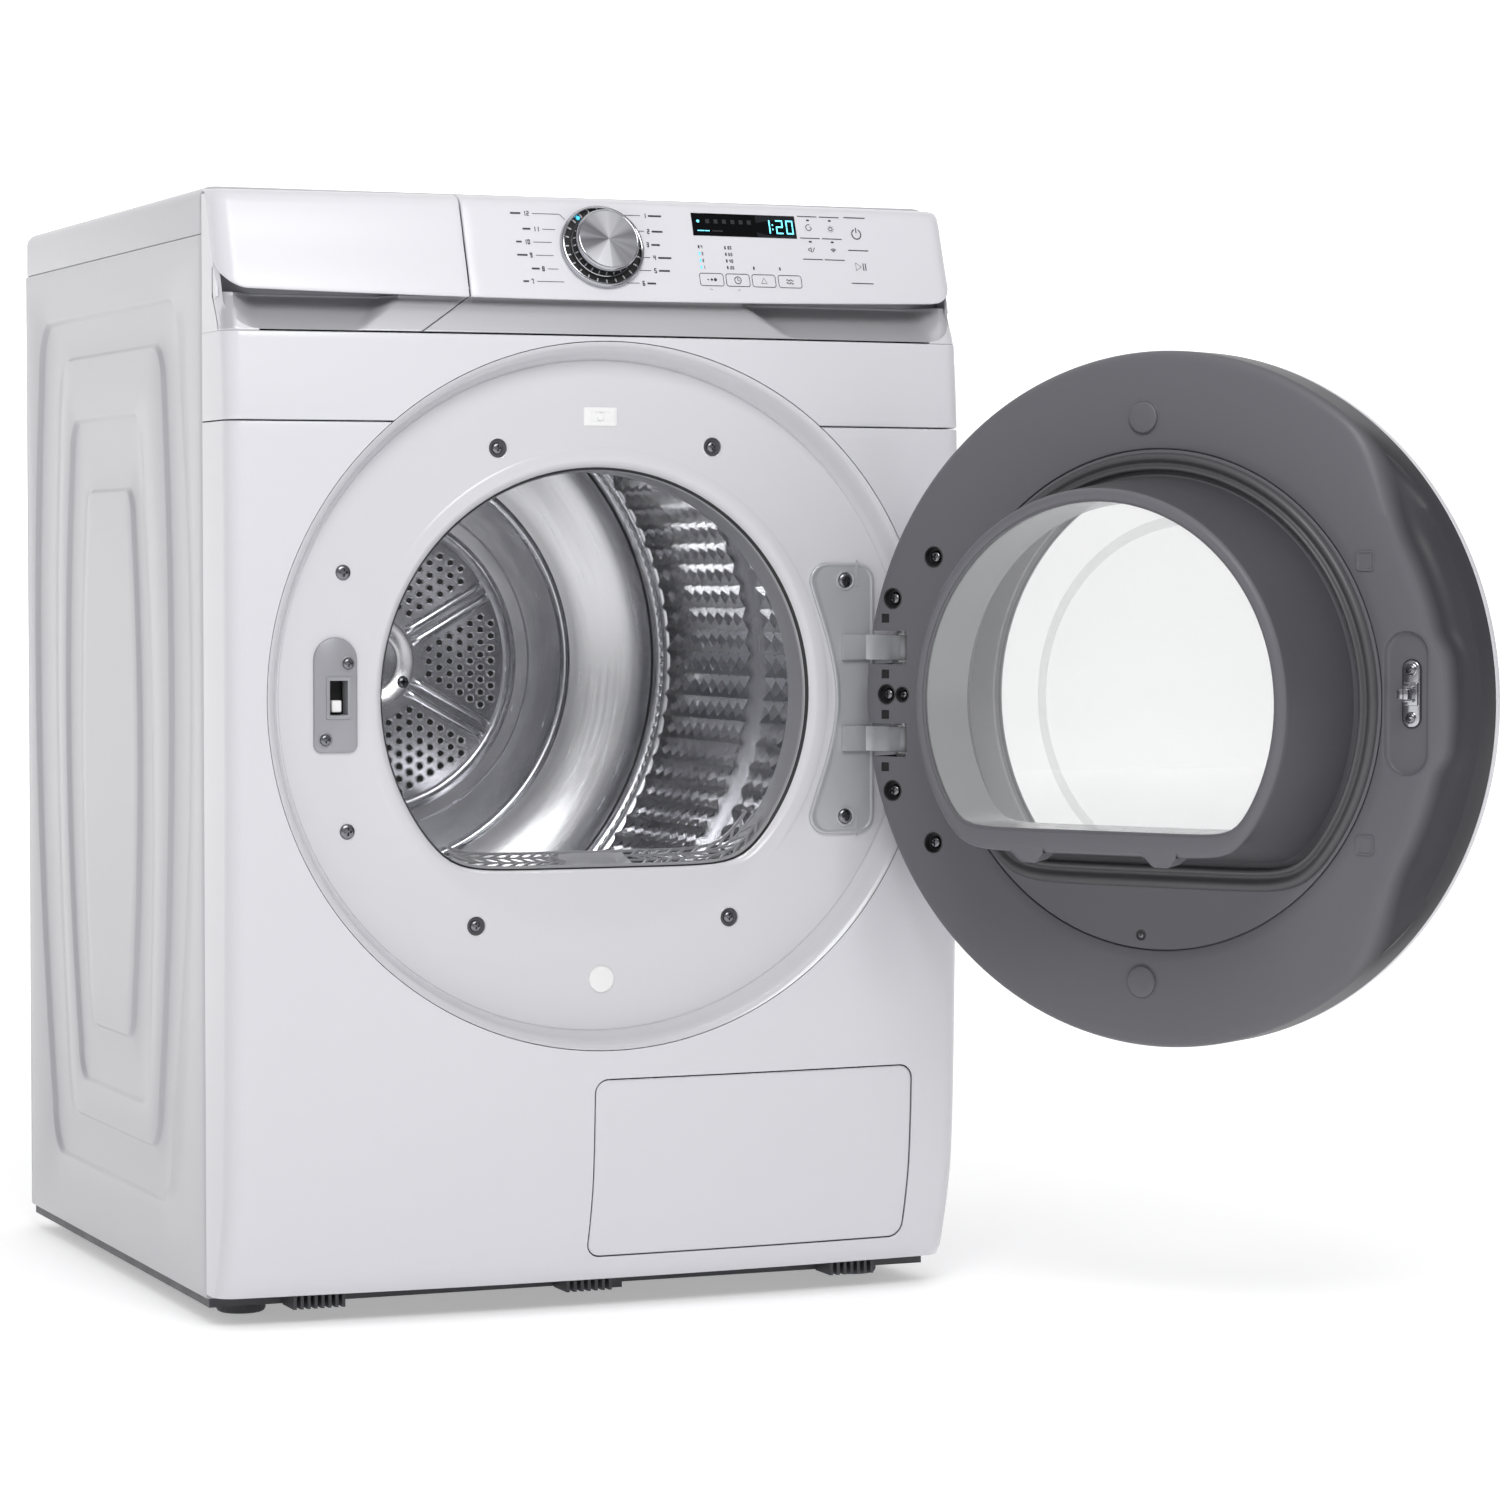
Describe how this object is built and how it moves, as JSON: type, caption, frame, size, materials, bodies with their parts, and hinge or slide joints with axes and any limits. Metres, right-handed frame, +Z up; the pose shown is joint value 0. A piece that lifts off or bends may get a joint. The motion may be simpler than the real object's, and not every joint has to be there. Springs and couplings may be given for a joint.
{
  "type": "clothes dryer",
  "caption": "Front-loading clothes dryer, round window door on a right-hand hinge standing open, turning steel drum, dial and display fascia, pull-out tank, service flap and lint filter.",
  "frame": {"origin": "on the floor, under the centre of the cabinet's side panels", "axes": "+Z up through the top plate, the loading door and controls face -Y, +X towards the door's hinge"},
  "size_m": [0.9467, 1.2495, 0.984],
  "materials": {
    "front_paint": "smooth satin white enamel on steel sheet",
    "fascia_white": "satin white moulded plastic",
    "side_paint": "smooth light grey-white enamel on steel sheet",
    "dish_plastic": "semi-gloss white moulded plastic",
    "white_plastic": "white moulded plastic",
    "grey_plastic": "satin light grey moulded plastic",
    "latch_plastic": "satin mid grey moulded plastic",
    "dark_plastic": "dark grey moulded plastic",
    "black_plastic": "black moulded plastic",
    "tank_plastic": "translucent white moulded plastic",
    "lifter_plastic": "grey moulded plastic",
    "door_grey": "satin dark grey moulded plastic",
    "rubber": "matte dark rubber",
    "felt": "pressed felt",
    "hinge_metal": "satin zinc-plated steel",
    "steel": "satin steel",
    "drum_steel": "brushed stainless steel",
    "galvanised": "galvanised steel sheet",
    "aluminium": "plain aluminium",
    "spun_metal": "spun aluminium with fine concentric lines",
    "chrome": "chromed plastic",
    "display_glass": "glossy black window",
    "circuit_green": "green circuit board",
    "lamp_lens": "frosted clear lens",
    "glass": "clear toughened glass"
  },
  "bodies": {
    "cabinet": {"base_pan": "dark_plastic", "side_panel_left": "side_paint", "side_panel_right": "side_paint", "rear_panel": "side_paint", "power_gland": "black_plastic", "top_plate": "front_paint", "front_panel": "front_paint", "front_panel_upper": "front_paint", "door_surround": "dish_plastic", "handle_band": "grey_plastic", "control_fascia": "fascia_white", "display_window": "display_glass", "knob_ring": "chrome", "control_board": "circuit_green", "tank_housing": "grey_plastic", "front_bulkhead": "galvanised", "drum_felt": "felt", "drum_lamp": "lamp_lens", "roller_axle_left": "steel", "roller_axle_right": "steel", "drum_belt": "rubber", "drive_motor": "galvanised", "blower_housing": "grey_plastic", "bearing_bracket": "galvanised", "heat_exchanger": "aluminium", "compressor": "black_plastic", "filter_duct": "grey_plastic", "hinge_plate": "hinge_metal", "hinge_arm_upper": "hinge_metal", "hinge_arm_lower": "hinge_metal", "latch_plate": "latch_plastic"},
    "door": {"door_inner_frame": "door_grey", "door_outer_cover": "fascia_white", "door_outer_glass": "glass", "door_bowl": "door_grey", "bowl_glass": "glass", "door_seal": "rubber", "door_striker": "steel", "hinge_pin": "steel"},
    "drum": {"drum_shell": "drum_steel", "drum_rear_wall": "drum_steel", "drum_shaft": "steel", "drum_lifter_1": "lifter_plastic", "drum_lifter_2": "lifter_plastic", "drum_lifter_3": "lifter_plastic"},
    "motor_shaft": {"motor_shaft": "steel", "blower_wheel": "black_plastic"},
    "roller_left": {"support_roller_left": "rubber"},
    "roller_right": {"support_roller_right": "rubber"},
    "knob": {"program_knob": "spun_metal"},
    "tank_drawer": {"drawer_front": "fascia_white", "drawer_pull": "grey_plastic", "water_tank": "tank_plastic"},
    "flap": {"service_flap": "front_paint"},
    "filter": {"lint_filter": "grey_plastic"},
    "lever": {"latch_lever": "white_plastic"},
    "foot_front_left": {"foot_front_left": "dark_plastic"},
    "foot_front_right": {"foot_front_right": "dark_plastic"},
    "foot_rear_left": {"foot_rear_left": "dark_plastic"},
    "foot_rear_right": {"foot_rear_right": "dark_plastic"}
  },
  "joints": [
    {"name": "door_hinge", "type": "hinge", "parent": "cabinet", "child": "door", "pos_m": [0.275, -0.4225, 0.543], "axis": [0, 0, 1], "range_deg": [-123, 7]},
    {"name": "drum_spin", "type": "hinge", "parent": "cabinet", "child": "drum", "pos_m": [0, 0, 0.56], "axis": [0, 1, 0], "continuous": true},
    {"name": "motor_spin", "type": "hinge", "parent": "cabinet", "child": "motor_shaft", "pos_m": [0.2, 0, 0.125], "axis": [0, 1, 0], "continuous": true},
    {"name": "roller_left_spin", "type": "hinge", "parent": "cabinet", "child": "roller_left", "pos_m": [-0.19249, -0.306, 0.28509], "axis": [0, 1, 0], "continuous": true},
    {"name": "roller_right_spin", "type": "hinge", "parent": "cabinet", "child": "roller_right", "pos_m": [0.19249, -0.306, 0.28509], "axis": [0, 1, 0], "continuous": true},
    {"name": "knob_turn", "type": "hinge", "parent": "cabinet", "child": "knob", "pos_m": [0, -0.38648, 0.93574], "axis": [0, -0.9397, 0.342], "continuous": true},
    {"name": "tank_slide", "type": "slide", "parent": "cabinet", "child": "tank_drawer", "axis": [0, -1, 0], "range_m": [0, 0.38]},
    {"name": "flap_hinge", "type": "hinge", "parent": "cabinet", "child": "flap", "pos_m": [0.139, -0.38285, 0.0493], "axis": [0.9992, 0.039, 0], "range_deg": [0, 85]},
    {"name": "filter_lift", "type": "slide", "parent": "cabinet", "child": "filter", "axis": [0, 0, 1], "range_m": [0, 0.14]},
    {"name": "lever_push", "type": "slide", "parent": "cabinet", "child": "lever", "axis": [0, 1, 0], "range_m": [0, 0.006], "stiffness_N_per_m": 60, "springref_m": -0.003},
    {"name": "foot_front_left_turn", "type": "hinge", "parent": "cabinet", "child": "foot_front_left", "pos_m": [-0.295, -0.262, 0.01], "axis": [0, 0, 1], "continuous": true},
    {"name": "foot_front_right_turn", "type": "hinge", "parent": "cabinet", "child": "foot_front_right", "pos_m": [0.295, -0.262, 0.01], "axis": [0, 0, 1], "continuous": true},
    {"name": "foot_rear_left_turn", "type": "hinge", "parent": "cabinet", "child": "foot_rear_left", "pos_m": [-0.295, 0.262, 0.01], "axis": [0, 0, 1], "continuous": true},
    {"name": "foot_rear_right_turn", "type": "hinge", "parent": "cabinet", "child": "foot_rear_right", "pos_m": [0.295, 0.262, 0.01], "axis": [0, 0, 1], "continuous": true}
  ],
  "couplings": [
    {"joint": "motor_spin", "follows": "drum_spin", "ratio": 25.4},
    {"joint": "roller_left_spin", "follows": "drum_spin", "ratio": -10.17},
    {"joint": "roller_right_spin", "follows": "drum_spin", "ratio": -10.17}
  ]
}
